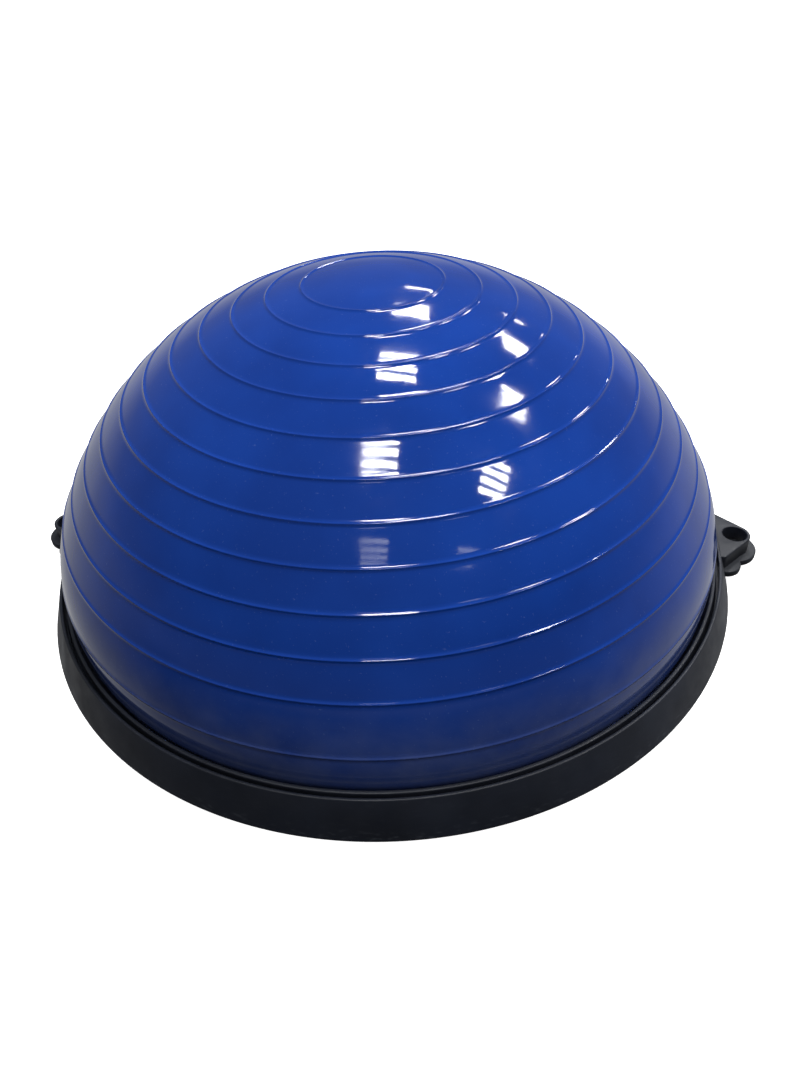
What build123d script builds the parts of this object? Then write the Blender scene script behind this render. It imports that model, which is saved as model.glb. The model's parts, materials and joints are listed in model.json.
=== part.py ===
"""Balance dome trainer: an air-filled ribbed PVC dome clamped to a flat round platform.

Millimetres, +Z up. The origin is on the floor under the centre of the dome, and the
two strap eyes lie on the X axis.
"""

from build123d import *
from math import acos, cos, degrees, radians, sin, sqrt
import os

os.makedirs("parts", exist_ok=True)

# ---------------------------------------------------------------- driving dimensions
# Platform and rings
base_radius = 295.0  # outer edge of the base, at its foot
base_height = 32.0  # floor to the top edge of the rings
band_lean = 10.8  # how far the outer band leans in from foot to top
band_wall = 2.6
band_floor_gap = 2.0  # the band stays clear of the floor: only the feet stand on it
band_edge_round = 1.1
rim_lip = 2.7  # width of the band's top edge
groove_width = 2.2  # open groove between the band and the clamp ring
clamp_lip = 3.0  # width of the clamp ring's top edge
ring_gap = 2.0  # gap between the dome and the clamp ring

# Dome
wall_tuck = 11.7  # at the rings the wall stands this far inside the sphere
dome_height = 258.0  # floor to the top of the dome
dome_wall = 3.0
shoulder_rise = 63.5  # above the rings; below it the wall leaves the sphere
neck_radius = 18.0  # the wall rolls in under the clamp ring on this radius
bead_height = 5.0
bead_width = 15.5
bead_outer_reach = 0.8  # beyond the wall's outer face where it leaves the ring
rib_count = 11  # evenly spaced ribs
first_rib_arc = 52.3  # along the surface, from the top of the dome
last_rib_gap = 2.2  # along the surface, from the last even rib to the shoulder
foot_rib_rise = 27.5  # the lowest rib, above the rings
rib_bulge = 1.3  # radius of a rib's round section

# Tray
floor_underside = 9.0
floor_thickness = 4.0
seal_thickness = 1.0
rib_drop = 5.5  # depth of the stiffening ribs below the floor
rib_wall = 3.0
radial_ribs = 24
hub_radius = 45.0
ring_ribs = 3  # outside the hub, evenly spaced
outer_rib_offset = 2.4  # outwards from the bead's inner face
bead_fence_height = 6.0
bead_fence_wall = 2.5

# Fasteners
screw_diameter = 4.0
thread_clearance = 0.02  # radial, screw in its pilot hole
screw_clearance = 0.2  # radial, screw in a through hole
head_diameter = 7.5
head_height = 2.4
recess_depth = 1.3
ring_screw_count = 16
screw_bite = 5.5  # how far a screw reaches into a ring
pilot_extra = 0.8  # the pilot hole is deeper than the screw
leg_height = 8.0  # solid legs of the two rings above the tray
leg_gap = 0.6  # between the legs of the two rings

# Strap eyes
ear_count = 2
eye_stand_off = 7.0  # centre of the eye, outwards from the base's outer edge
eye_hole_radius = 10.0
lug_nose_radius = 13.0
lug_root_half_width = 32.0
lug_root_reach = 2.0  # centre of a root corner, outwards from the band's top edge
lug_root_corner = 4.0
lug_top = 28.0
lug_roof = 5.0  # plastic left above an ear screw
plate_underside = 8.0
plate_thickness = 6.0
plate_nose_radius = 20.5
shoulder_radius = 13.0
shoulder_half_spacing = 22.0
shoulder_inset = 10.0  # towards the axis from the eye
ear_screw_half_spacing = 16.0
ear_screw_inset = 9.5  # towards the axis from the eye
notch_clearance = 0.3
eye_relief = 2.0  # the pad below the plate stays this far off the eye

# Rubber feet
foot_count = 8
foot_inset = 31.0  # centre of a foot, inwards from the outer ring rib
foot_diameter = 26.0
foot_height = 4.0
foot_stem_diameter = 9.0
foot_stem_length = 5.0
foot_clearance = 0.05
socket_wall = 3.0
socket_recess = 1.0

# Valve
valve_bore_radius = 5.2
plug_clearance = 0.3
seal_ring_clearance = 0.05
seat_wall = 2.7
seat_flange_radius = 15.0
seat_flange_thickness = 2.0
seat_length = 22.0
nut_radius = 14.0
nut_height = 5.0
washer_thickness = 1.0
plug_head_radius = 11.0
plug_head_thickness = 2.2
plug_length = 14.0
plug_tab_height = 2.2

# ---------------------------------------------------------------- derived sizes
floor_top = floor_underside + floor_thickness
rib_underside = floor_underside - rib_drop
band_top_radius = base_radius - band_lean
groove_outer = band_top_radius - rim_lip
clamp_outer = groove_outer - groove_width
clamp_inner = clamp_outer - clamp_lip
dome_foot_radius = clamp_inner - ring_gap  # wall's outer face at the ring's top
dome_rise = dome_height - base_height
dome_radius = ((dome_foot_radius + wall_tuck) ** 2 + dome_rise**2) / (2 * dome_rise)
dome_centre = dome_height - dome_radius
shoulder_turn = acos((base_height + shoulder_rise - dome_centre) / dome_radius)
shoulder_angle = degrees(shoulder_turn)
bead_bottom = floor_top + seal_thickness
bead_top = bead_bottom + bead_height
bead_outer = dome_foot_radius + bead_outer_reach
bead_inner = bead_outer - bead_width
neck_centre = dome_foot_radius - neck_radius
eye_radius_from_axis = base_radius + eye_stand_off
outer_rib_radius = bead_inner + outer_rib_offset
ring_rib_pitch = (outer_rib_radius - hub_radius) / ring_ribs
ring_rib_radii = [hub_radius + i * ring_rib_pitch for i in range(ring_ribs + 1)]
foot_circle_radius = outer_rib_radius - foot_inset


def band_radius(height):
    """Outer radius of the sloping band at a height above the floor."""
    share = (height - band_floor_gap) / (base_height - band_floor_gap)
    return base_radius - band_lean * share


def neck_point(offset, height):
    """Point on the rolled-in neck, moved outwards by an offset, at a height."""
    radius = neck_radius + offset
    return neck_centre + sqrt(radius**2 - (base_height - height) ** 2), height


def dome_point(angle, offset=0.0):
    """Point of the spherical part at an angle from the top, moved outwards."""
    radius = dome_radius + offset
    return radius * sin(radians(angle)), dome_centre + radius * cos(radians(angle))


tray_radius = band_radius(floor_top) - band_wall - notch_clearance
clamp_leg_inner = bead_outer + notch_clearance
leg_split = (clamp_leg_inner + band_radius(floor_top) - band_wall) / 2 - 0.8
clamp_leg_outer = leg_split - leg_gap / 2
rim_leg_inner = leg_split + leg_gap / 2
rim_leg_outer = band_radius(floor_top) - band_wall / 2
clamp_screw_circle = (clamp_leg_inner + clamp_leg_outer) / 2
rim_screw_circle = (rim_leg_inner + tray_radius) / 2
clamp_web_top = bead_top + 4.0
last_rib_arc = shoulder_turn * dome_radius - last_rib_gap
rib_pitch = (last_rib_arc - first_rib_arc) / (rib_count - 1)
rib_angles = [degrees((first_rib_arc + i * rib_pitch) / dome_radius) for i in range(rib_count)]
plate_top = plate_underside + plate_thickness
lug_height = lug_top - plate_top
ear_screw_tip = lug_top - lug_roof
screw_radius = screw_diameter / 2
through_radius = screw_radius + screw_clearance
pilot_radius = screw_radius + thread_clearance
ear_screw_radius_from_axis = eye_radius_from_axis - ear_screw_inset


def bar_screw(grip):
    """Pan-head screw, head down, its seat at z=0 and its shank rising by the grip."""
    with BuildPart() as screw:
        with BuildSketch(Plane.XY):
            Circle(screw_radius)
        extrude(amount=grip)
        with BuildSketch(Plane.XY):
            Circle(head_diameter / 2)
        extrude(amount=-head_height)
        fillet(screw.edges().group_by(Axis.Z)[0], 0.9)
        chamfer(screw.edges().group_by(Axis.Z)[-1], 0.5)
        with BuildSketch(Plane.XY.offset(-head_height)):
            Rectangle(4.2, 1.0)
            Rectangle(1.0, 4.2)
        extrude(amount=recess_depth, mode=Mode.SUBTRACT)
    return screw.part


def write(part, name):
    """Label a finished piece and write it as one STEP file."""
    part.label = name
    export_step(part, f"parts/{name}.step")


# ---------------------------------------------------------------- dome shell
# One moulding: sphere, straighter foot, neck rolled in under the ring, thick bead.
with BuildPart() as dome_shell:
    with BuildSketch(Plane.XZ):
        with BuildLine():
            outer_top = (0, dome_height)
            outer_shoulder = dome_point(shoulder_angle)
            outer_foot = (dome_foot_radius, base_height)
            outer_neck = neck_point(0, bead_top)
            inner_top = (0, dome_height - dome_wall)
            inner_shoulder = dome_point(shoulder_angle, -dome_wall)
            inner_foot = (dome_foot_radius - dome_wall, base_height)
            inner_neck = neck_point(-dome_wall, bead_top)
            ThreePointArc(outer_top, dome_point(shoulder_angle / 2), outer_shoulder)
            outer_side = TangentArc(
                outer_shoulder,
                outer_foot,
                tangent=(cos(radians(shoulder_angle)), -sin(radians(shoulder_angle))),
            )
            RadiusArc(outer_foot, outer_neck, neck_radius)
            Line(outer_neck, (bead_outer, bead_top))
            Line((bead_outer, bead_top), (bead_outer, bead_bottom))
            Line((bead_outer, bead_bottom), (bead_inner, bead_bottom))
            Line((bead_inner, bead_bottom), (bead_inner, bead_top))
            Line((bead_inner, bead_top), inner_neck)
            RadiusArc(inner_neck, inner_foot, -(neck_radius - dome_wall))
            TangentArc(
                inner_shoulder,
                inner_foot,
                tangent=(cos(radians(shoulder_angle)), -sin(radians(shoulder_angle))),
            )
            ThreePointArc(inner_shoulder, dome_point(shoulder_angle / 2, -dome_wall), inner_top)
            Line(inner_top, outer_top)
        make_face()
        with Locations(*[dome_point(angle) for angle in rib_angles]):
            Circle(rib_bulge)
        foot_rib_place = outer_side.position_at(1 - foot_rib_rise / shoulder_rise)
        with Locations((foot_rib_place.X, foot_rib_place.Y)):
            Circle(rib_bulge * 0.8)
    revolve(axis=Axis.Z)
write(dome_shell.part, "dome_shell")

# ---------------------------------------------------------------- seal under the bead
with BuildPart() as bead_seal:
    with BuildSketch(Plane.XY.offset(floor_top)):
        Circle(bead_outer - 1.5)
        Circle(bead_inner + 1.5, mode=Mode.SUBTRACT)
    extrude(amount=seal_thickness)
write(bead_seal.part, "bead_seal")

# ---------------------------------------------------------------- clamp ring
# Its web presses the bead down, its leg stands on the tray, its lip shows beside the dome.
with BuildPart() as clamp_ring:
    with BuildSketch(Plane.XZ):
        with BuildLine():
            web_inner = neck_point(ring_gap, bead_top)
            Line((clamp_inner, base_height), (clamp_outer, base_height))
            Line((clamp_outer, base_height), (clamp_outer, clamp_web_top))
            Line((clamp_outer, clamp_web_top), (clamp_leg_outer, clamp_web_top - 3.0))
            Line((clamp_leg_outer, clamp_web_top - 3.0), (clamp_leg_outer, floor_top))
            Line((clamp_leg_outer, floor_top), (clamp_leg_inner, floor_top))
            Line((clamp_leg_inner, floor_top), (clamp_leg_inner, bead_top))
            Line((clamp_leg_inner, bead_top), web_inner)
            RadiusArc(web_inner, (clamp_inner, base_height), -(neck_radius + ring_gap))
        make_face()
    revolve(axis=Axis.Z)
    fillet(clamp_ring.edges().group_by(Axis.Z)[-1], band_edge_round)
    with BuildSketch(Plane.XY.offset(floor_top)):
        with PolarLocations(clamp_screw_circle, ring_screw_count):
            Circle(pilot_radius)
    extrude(amount=screw_bite + pilot_extra, mode=Mode.SUBTRACT)
write(clamp_ring.part, "clamp_ring")

# ---------------------------------------------------------------- strap-eye outlines
with BuildSketch() as lug_plan:
    with BuildSketch(mode=Mode.PRIVATE) as lug_circles:
        with Locations((eye_radius_from_axis, 0)):
            Circle(lug_nose_radius)
        root_place = band_top_radius + lug_root_reach
        with Locations(
            (root_place, lug_root_half_width - lug_root_corner),
            (root_place, lug_root_corner - lug_root_half_width),
        ):
            Circle(lug_root_corner)
    make_hull(lug_circles.edges())
    Circle(groove_outer + 1.0, mode=Mode.SUBTRACT)

with BuildSketch() as plate_plan:
    shoulder_place = eye_radius_from_axis - shoulder_inset
    plate_half_width = shoulder_half_spacing + shoulder_radius
    with Locations((eye_radius_from_axis, 0)):
        Circle(plate_nose_radius)
    with Locations(
        (shoulder_place, shoulder_half_spacing),
        (shoulder_place, -shoulder_half_spacing),
    ):
        Circle(shoulder_radius)
    with Locations((shoulder_place, 0)):
        Rectangle(30.0, 2 * plate_half_width, align=(Align.MAX, Align.CENTER))

ear_screw_places = [
    (ear_screw_radius_from_axis, ear_screw_half_spacing),
    (ear_screw_radius_from_axis, -ear_screw_half_spacing),
]

# ---------------------------------------------------------------- rim ring
# Sloping outer band with a flat leg on the tray and an upper lug at each strap eye.
with BuildPart() as rim_ring:
    with BuildSketch(Plane.XZ):
        with BuildLine():
            Polyline(
                (base_radius, band_floor_gap),
                (band_top_radius, base_height),
                (groove_outer, base_height),
                (band_radius(floor_top + leg_height) - band_wall, floor_top + leg_height),
                (rim_leg_inner, floor_top + leg_height),
                (rim_leg_inner, floor_top),
                (band_radius(floor_top) - band_wall, floor_top),
                (base_radius - band_wall, band_floor_gap),
                close=True,
            )
        make_face()
    revolve(axis=Axis.Z)
    fillet(rim_ring.edges().group_by(Axis.Z)[-1], band_edge_round)
    # Room for the tray's lower plate, open at the bottom so that the ring drops over it.
    with BuildSketch(Plane.XY.offset(band_floor_gap)):
        with Locations((base_radius, 0), (-base_radius, 0)):
            Rectangle(40.0, 2 * (plate_half_width + notch_clearance))
        Circle(tray_radius - 8.0, mode=Mode.SUBTRACT)
    extrude(amount=floor_top - band_floor_gap, mode=Mode.SUBTRACT)
    with BuildSketch(Plane.XY.offset(floor_top)):
        with Locations((base_radius, 0), (-base_radius, 0)):
            Rectangle(40.0, 2 * (plate_half_width + notch_clearance))
        Circle(rim_leg_outer, mode=Mode.SUBTRACT)
    extrude(amount=plate_top - floor_top, mode=Mode.SUBTRACT)
    with BuildSketch(Plane.XY.offset(plate_top)):
        with PolarLocations(0, ear_count):
            add(lug_plan.sketch)
    extrude(amount=lug_height)
    with BuildSketch(Plane.XY.offset(floor_top)):
        with PolarLocations(eye_radius_from_axis, ear_count):
            Circle(eye_hole_radius)
    extrude(amount=base_height - floor_top, mode=Mode.SUBTRACT)
    with BuildSketch(Plane.XY.offset(floor_top)):
        with PolarLocations(0, ear_count):
            with Locations(*ear_screw_places):
                Circle(pilot_radius)
    extrude(amount=ear_screw_tip + pilot_extra - floor_top, mode=Mode.SUBTRACT)
    with BuildSketch(Plane.XY.offset(floor_top)):
        with PolarLocations(rim_screw_circle, ring_screw_count, start_angle=180 / ring_screw_count):
            Circle(pilot_radius)
    extrude(amount=screw_bite + pilot_extra, mode=Mode.SUBTRACT)
write(rim_ring.part, "rim_ring")

# ---------------------------------------------------------------- base tray
socket_radius = foot_diameter / 2 + foot_clearance * 4 + socket_wall
foot_angle = 180 / foot_count
pad_inner = clamp_screw_circle + head_diameter / 2 + notch_clearance
ear_seat = plate_underside

with BuildPart() as base_tray:
    with BuildSketch(Plane.XY.offset(floor_underside)):
        Circle(tray_radius)
    extrude(amount=floor_thickness)
    # Stiffening ribs under the floor: spokes, rings, and a socket for each foot.
    with BuildSketch(Plane.XY.offset(rib_underside)):
        spoke_length = outer_rib_radius - hub_radius
        with PolarLocations(hub_radius, radial_ribs):
            Rectangle(spoke_length, rib_wall, align=(Align.MIN, Align.CENTER))
        for rib_radius in ring_rib_radii:
            with BuildSketch(mode=Mode.PRIVATE) as ring_rib:
                Circle(rib_radius + rib_wall / 2)
                Circle(rib_radius - rib_wall / 2, mode=Mode.SUBTRACT)
            add(ring_rib.sketch)
        with PolarLocations(foot_circle_radius, foot_count, start_angle=foot_angle):
            Circle(socket_radius)
    extrude(amount=rib_drop)
    # Low fence that holds the bead from moving inwards.
    with BuildSketch(Plane.XY.offset(floor_top)):
        Circle(bead_inner - notch_clearance)
        Circle(bead_inner - notch_clearance - bead_fence_wall, mode=Mode.SUBTRACT)
    extrude(amount=bead_fence_height)
    # Lower plate of each strap eye, with a pad that closes the notch in the band.
    with BuildSketch(Plane.XY.offset(plate_underside)):
        with PolarLocations(0, ear_count):
            add(plate_plan.sketch)
        Circle(rim_leg_outer + notch_clearance, mode=Mode.SUBTRACT)
    extrude(amount=plate_thickness)
    with BuildSketch(Plane.XY.offset(floor_underside)):
        with PolarLocations(0, ear_count):
            add(plate_plan.sketch)
        Circle(tray_radius - 1.0, mode=Mode.SUBTRACT)
    extrude(amount=floor_thickness)
    with BuildSketch(Plane.XY.offset(band_floor_gap)):
        with PolarLocations(0, ear_count):
            add(plate_plan.sketch)
        Circle(band_radius(plate_underside) - 0.4, mode=Mode.INTERSECT)
        Circle(pad_inner, mode=Mode.SUBTRACT)
    extrude(amount=floor_underside - band_floor_gap)
    with BuildSketch(Plane.XY.offset(plate_underside)):
        with PolarLocations(eye_radius_from_axis, ear_count):
            Circle(eye_hole_radius)
    extrude(amount=plate_thickness, mode=Mode.SUBTRACT)
    with BuildSketch(Plane.XY):
        with PolarLocations(eye_radius_from_axis, ear_count):
            Circle(eye_hole_radius + eye_relief)
    extrude(amount=plate_underside, mode=Mode.SUBTRACT)
    # Screw holes for the ears, counterbored from below.
    with BuildSketch(Plane.XY):
        with PolarLocations(0, ear_count):
            with Locations(*ear_screw_places):
                Circle(through_radius)
    extrude(amount=plate_top, mode=Mode.SUBTRACT)
    with BuildSketch(Plane.XY):
        with PolarLocations(0, ear_count):
            with Locations(*ear_screw_places):
                Circle(head_diameter / 2 + 0.4)
    extrude(amount=ear_seat, mode=Mode.SUBTRACT)
    # Screw holes for the two rings.
    with BuildSketch(Plane.XY.offset(floor_underside)):
        with PolarLocations(clamp_screw_circle, ring_screw_count):
            Circle(through_radius)
        with PolarLocations(rim_screw_circle, ring_screw_count, start_angle=180 / ring_screw_count):
            Circle(through_radius)
    extrude(amount=floor_thickness, mode=Mode.SUBTRACT)
    # Sockets for the feet: a shallow recess and a bore for the stem.
    with BuildSketch(Plane.XY.offset(rib_underside)):
        with PolarLocations(foot_circle_radius, foot_count, start_angle=foot_angle):
            Circle(foot_diameter / 2 + foot_clearance * 4)
    extrude(amount=foot_height - rib_underside, mode=Mode.SUBTRACT)
    with BuildSketch(Plane.XY.offset(foot_height)):
        with PolarLocations(foot_circle_radius, foot_count, start_angle=foot_angle):
            Circle(foot_stem_diameter / 2 + foot_clearance)
    extrude(amount=foot_stem_length + 0.5, mode=Mode.SUBTRACT)
    # Hole for the valve.
    with BuildSketch(Plane.XY.offset(floor_underside)):
        Circle(valve_bore_radius + seat_wall + foot_clearance)
    extrude(amount=floor_thickness, mode=Mode.SUBTRACT)
write(base_tray.part, "base_tray")

# ---------------------------------------------------------------- screws
short_screw = bar_screw(floor_thickness + screw_bite)
long_screw = bar_screw(ear_screw_tip - ear_seat)

with BuildPart() as clamp_screws:
    with Locations((0, 0, floor_underside)):
        with PolarLocations(clamp_screw_circle, ring_screw_count):
            add(short_screw)
write(clamp_screws.part, "clamp_screws")

with BuildPart() as rim_screws:
    with Locations((0, 0, floor_underside)):
        with PolarLocations(rim_screw_circle, ring_screw_count, start_angle=180 / ring_screw_count):
            add(short_screw)
write(rim_screws.part, "rim_screws")

with BuildPart() as ear_screws:
    with Locations((0, 0, ear_seat)):
        with PolarLocations(0, ear_count):
            with Locations(*ear_screw_places):
                add(long_screw)
write(ear_screws.part, "ear_screws")

# ---------------------------------------------------------------- rubber feet
foot_step = 360 / foot_count
for number in range(1, foot_count + 1):
    turn = radians(foot_angle + (number - 1) * foot_step)
    place = (foot_circle_radius * cos(turn), foot_circle_radius * sin(turn))
    with BuildPart() as foot:
        with BuildSketch(Plane.XY):
            with Locations(place):
                Circle(foot_diameter / 2)
        extrude(amount=foot_height)
        fillet(foot.edges().group_by(Axis.Z)[0], 1.2)
        with BuildSketch(Plane.XY.offset(foot_height)):
            with Locations(place):
                Circle(foot_stem_diameter / 2)
        extrude(amount=foot_stem_length)
    write(foot.part, f"foot_{number}")

# ---------------------------------------------------------------- valve
seat_radius = valve_bore_radius + seat_wall
seat_bottom = floor_underside - seat_flange_thickness

with BuildPart() as valve_seat:
    with BuildSketch(Plane.XY.offset(seat_bottom)):
        Circle(seat_flange_radius)
    extrude(amount=seat_flange_thickness)
    with BuildSketch(Plane.XY.offset(seat_bottom)):
        Circle(seat_radius)
    extrude(amount=seat_length)
    with BuildSketch(Plane.XY.offset(seat_bottom)):
        Circle(valve_bore_radius)
    extrude(amount=seat_length, mode=Mode.SUBTRACT)
write(valve_seat.part, "valve_seat")

with BuildPart() as valve_washer:
    with BuildSketch(Plane.XY.offset(floor_top)):
        Circle(nut_radius)
        Circle(seat_radius + foot_clearance, mode=Mode.SUBTRACT)
    extrude(amount=washer_thickness)
write(valve_washer.part, "valve_washer")

with BuildPart() as valve_nut:
    with BuildSketch(Plane.XY.offset(floor_top + washer_thickness)):
        RegularPolygon(nut_radius, 6)
        Circle(seat_radius + thread_clearance, mode=Mode.SUBTRACT)
    extrude(amount=nut_height)
write(valve_nut.part, "valve_nut")

plug_radius = valve_bore_radius - plug_clearance
plug_top = seat_bottom + plug_length
head_top = seat_bottom - plug_clearance
head_bottom = head_top - plug_head_thickness
seal_height = seat_bottom + plug_length * 0.45
seal_section = 0.9
seal_centre = valve_bore_radius - seal_ring_clearance - seal_section

with BuildPart() as valve_plug:
    with BuildSketch(Plane.XZ):
        with BuildLine():
            Polyline(
                (0, head_bottom),
                (plug_head_radius, head_bottom),
                (plug_head_radius, head_top),
                (plug_radius, head_top),
                (plug_radius, seal_height - seal_section),
                (seal_centre - seal_section, seal_height - seal_section),
                (seal_centre - seal_section, seal_height + seal_section),
                (plug_radius, seal_height + seal_section),
                (plug_radius, plug_top - 3.0),
                (plug_radius - 1.6, plug_top),
                (0, plug_top),
                close=True,
            )
        make_face()
    revolve(axis=Axis.Z)
    with BuildSketch(Plane.XY.offset(head_bottom)):
        SlotOverall(plug_head_radius * 1.6, 3.4)
    extrude(amount=-plug_tab_height)
    fillet(valve_plug.edges().group_by(Axis.Z)[0], 0.6)
write(valve_plug.part, "valve_plug")

with BuildPart() as plug_seal:
    with BuildSketch(Plane.XZ):
        with Locations((seal_centre, seal_height)):
            Circle(seal_section)
    revolve(axis=Axis.Z)
write(plug_seal.part, "plug_seal")

print("dome radius", round(dome_radius, 2), "shoulder at", round(shoulder_angle, 2))
print("ribs at", [round(angle, 1) for angle in rib_angles])
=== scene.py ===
# %% [markdown]
# # A balance dome trainer
# A soft blue PVC dome, full of air, is clamped by two black rings to a stiff platform. This
# lesson builds what the eye sees of it around a CAD frame that already has the right size.
# Lengths below are in millimetres, and `mm` turns them to Blender's metres.

# %% Open the frame
import json
from math import acos, asin, cos, degrees, pi, radians, sin, sqrt, tan

import bmesh
import bpy
from mathutils import Matrix, Vector

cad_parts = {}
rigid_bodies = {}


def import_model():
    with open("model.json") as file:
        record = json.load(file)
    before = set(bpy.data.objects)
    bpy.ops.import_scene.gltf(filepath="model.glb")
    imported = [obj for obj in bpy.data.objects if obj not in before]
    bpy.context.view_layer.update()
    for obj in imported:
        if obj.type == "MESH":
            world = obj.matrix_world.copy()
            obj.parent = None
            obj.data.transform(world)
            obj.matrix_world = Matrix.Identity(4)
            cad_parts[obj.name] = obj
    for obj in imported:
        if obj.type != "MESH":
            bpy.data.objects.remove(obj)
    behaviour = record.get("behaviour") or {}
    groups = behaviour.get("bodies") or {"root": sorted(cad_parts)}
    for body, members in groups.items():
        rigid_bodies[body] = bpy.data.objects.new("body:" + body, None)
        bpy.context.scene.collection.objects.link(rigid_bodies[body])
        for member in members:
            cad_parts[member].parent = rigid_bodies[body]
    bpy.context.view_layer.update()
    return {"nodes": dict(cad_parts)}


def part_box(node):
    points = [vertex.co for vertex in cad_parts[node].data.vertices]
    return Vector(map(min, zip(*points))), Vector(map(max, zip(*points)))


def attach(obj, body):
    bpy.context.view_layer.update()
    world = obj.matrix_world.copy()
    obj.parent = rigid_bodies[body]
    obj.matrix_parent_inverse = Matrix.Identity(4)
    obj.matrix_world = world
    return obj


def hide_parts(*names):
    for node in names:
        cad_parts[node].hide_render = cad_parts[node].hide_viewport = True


bpy.ops.object.select_all(action="SELECT")
bpy.ops.object.delete()
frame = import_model()


def mm(length):
    """Millimetres to metres."""
    return length / 1000


# %% [markdown]
# Three helpers carry all the materials. `put` adds one node to any tree, sets it, wires it
# and hands back one of its outputs. `shade` turns a maker's hex colour, which is sRGB, into
# the linear values that shaders use. `patches` turns a real size into a noise scale.

# %% Node and colour helpers
def put(tree, kind, wires=None, out=0, **settings):
    """Add a node. wires gives inputs by name or number: a socket is linked, a value is set."""
    node = tree.nodes.new(kind)
    for name, value in settings.items():
        setattr(node, name, value)
    for key, value in (wires or {}).items():
        if isinstance(value, bpy.types.NodeSocket):
            tree.links.new(value, node.inputs[key])
        else:
            node.inputs[key].default_value = value
    return node.outputs[out] if len(node.outputs) else node


def shade(text):
    """A hex sRGB colour as linear red, green, blue and alpha."""
    parts = [int(text[i : i + 2], 16) / 255 for i in (1, 3, 5)]
    return [p / 12.92 if p <= 0.04045 else ((p + 0.055) / 1.055) ** 2.4 for p in parts] + [1.0]


def patches(size):
    """The noise scale that gives patches about size millimetres across."""
    return 1 / mm(size)


def finish_named(name, **surface):
    """A material, its tree and its shader. Numbers that never vary go straight on the shader."""
    material = bpy.data.materials.new(name)
    material.use_nodes = True
    shader = material.node_tree.nodes["Principled BSDF"]
    for socket, value in surface.items():
        shader.inputs[socket.replace("_", " ")].default_value = value
    return material, material.node_tree, shader


# %% [markdown]
# ## The dome's PVC
# The dome is plasticised PVC cast in a polished mould: glossy and dyed right through. Up
# close the dye clouds a little, the skin ripples faintly and has an orange peel, hands and
# socks leave duller smears, and towards the ring a pale grey is laid over the dye: partly
# dust that a cloth can't reach, partly painted light that lifts the shaded foot of the dome.
# Each noise has its real size: clouds of 80 mm, smears of 50 mm, ripples of 34 mm, peel of
# 1.5 mm. A painted image could do this too, but noise needs no unwrapping and never repeats.

# %% Glossy PVC: its colour
dome_pvc, tree, shader = finish_named("plasticised_pvc_glossy", IOR=1.52)
place = put(tree, "ShaderNodeTexCoord", out="Object")
clouds = put(
    tree, "ShaderNodeTexNoise", {"Vector": place, "Scale": patches(80), "Detail": 3.0}
)
cloudy = put(tree, "ShaderNodeMapRange", {0: clouds, 1: 0.35, 2: 0.65})
dye = put(
    tree,
    "ShaderNodeMix",
    {0: cloudy, 6: shade("#0a358a"), 7: shade("#0e3d99")},
    out=2,
    data_type="RGBA",
)
dust = put(tree, "ShaderNodeTexNoise", {"Vector": place, "Scale": patches(1.6), "Detail": 1.0})
specks = put(tree, "ShaderNodeMapRange", {0: dust, 1: 0.70, 2: 0.80, 3: 0.0, 4: 0.18})
speckled = put(
    tree, "ShaderNodeMix", {0: specks, 6: dye, 7: shade("#7087c2")}, out=2, data_type="RGBA"
)
height = put(tree, "ShaderNodeSeparateXYZ", {0: place}, out="Z")
# Pale grey laid on towards the ring: part dust, part painted light that lifts the dome's shaded
# foot.
dust_and_painted_lift_near_ring = put(tree, "ShaderNodeMapRange", {0: height, 1: mm(40), 2: mm(100), 3: 0.46, 4: 0.0})
film = put(tree, "ShaderNodeTexNoise", {"Vector": place, "Scale": patches(22), "Detail": 5.0})
pale_share = put(tree, "ShaderNodeMath", {0: dust_and_painted_lift_near_ring, 1: film}, operation="MULTIPLY")
colour = put(
    tree, "ShaderNodeMix", {0: pale_share, 6: speckled, 7: shade("#8d97ac")}, out=2, data_type="RGBA"
)
tree.links.new(colour, shader.inputs["Base Color"])

# %% Glossy PVC: its gloss and relief
wiped = put(
    tree,
    "ShaderNodeTexNoise",
    {"Vector": place, "Scale": patches(50), "Detail": 6.0, "Distortion": 1.0},
)
smears = put(tree, "ShaderNodeMapRange", {0: wiped, 1: 0.42, 2: 0.72, 3: 0.045, 4: 0.12})
tree.links.new(smears, shader.inputs["Roughness"])
waves = put(tree, "ShaderNodeTexNoise", {"Vector": place, "Scale": patches(34), "Detail": 1.0})
ripples = put(tree, "ShaderNodeBump", {"Height": waves, "Distance": mm(0.12), "Strength": 1.0})
grain = put(tree, "ShaderNodeTexNoise", {"Vector": place, "Scale": patches(1.5), "Detail": 2.0})
peel = put(
    tree,
    "ShaderNodeBump",
    {"Height": grain, "Distance": mm(0.006), "Strength": 1.0, "Normal": ripples},
)
tree.links.new(peel, shader.inputs["Normal"])
print("finish", dome_pvc.name, len(tree.nodes), "nodes")

# %% [markdown]
# ## The black plastics
# Rings and platform are injection-moulded polypropylene, dyed near-black with a cold cast.
# The rings come from a satin mould, the platform from a coarser spark-eroded one that hides
# scratches. Both pick up grey scuffs low down, where the trainer is dragged and stacked, so
# the scuffs' share falls with height. The mould's real grain of 0.3 mm would vanish, so it
# is drawn at about 1 mm. Both finishes are one recipe with different numbers.

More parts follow.
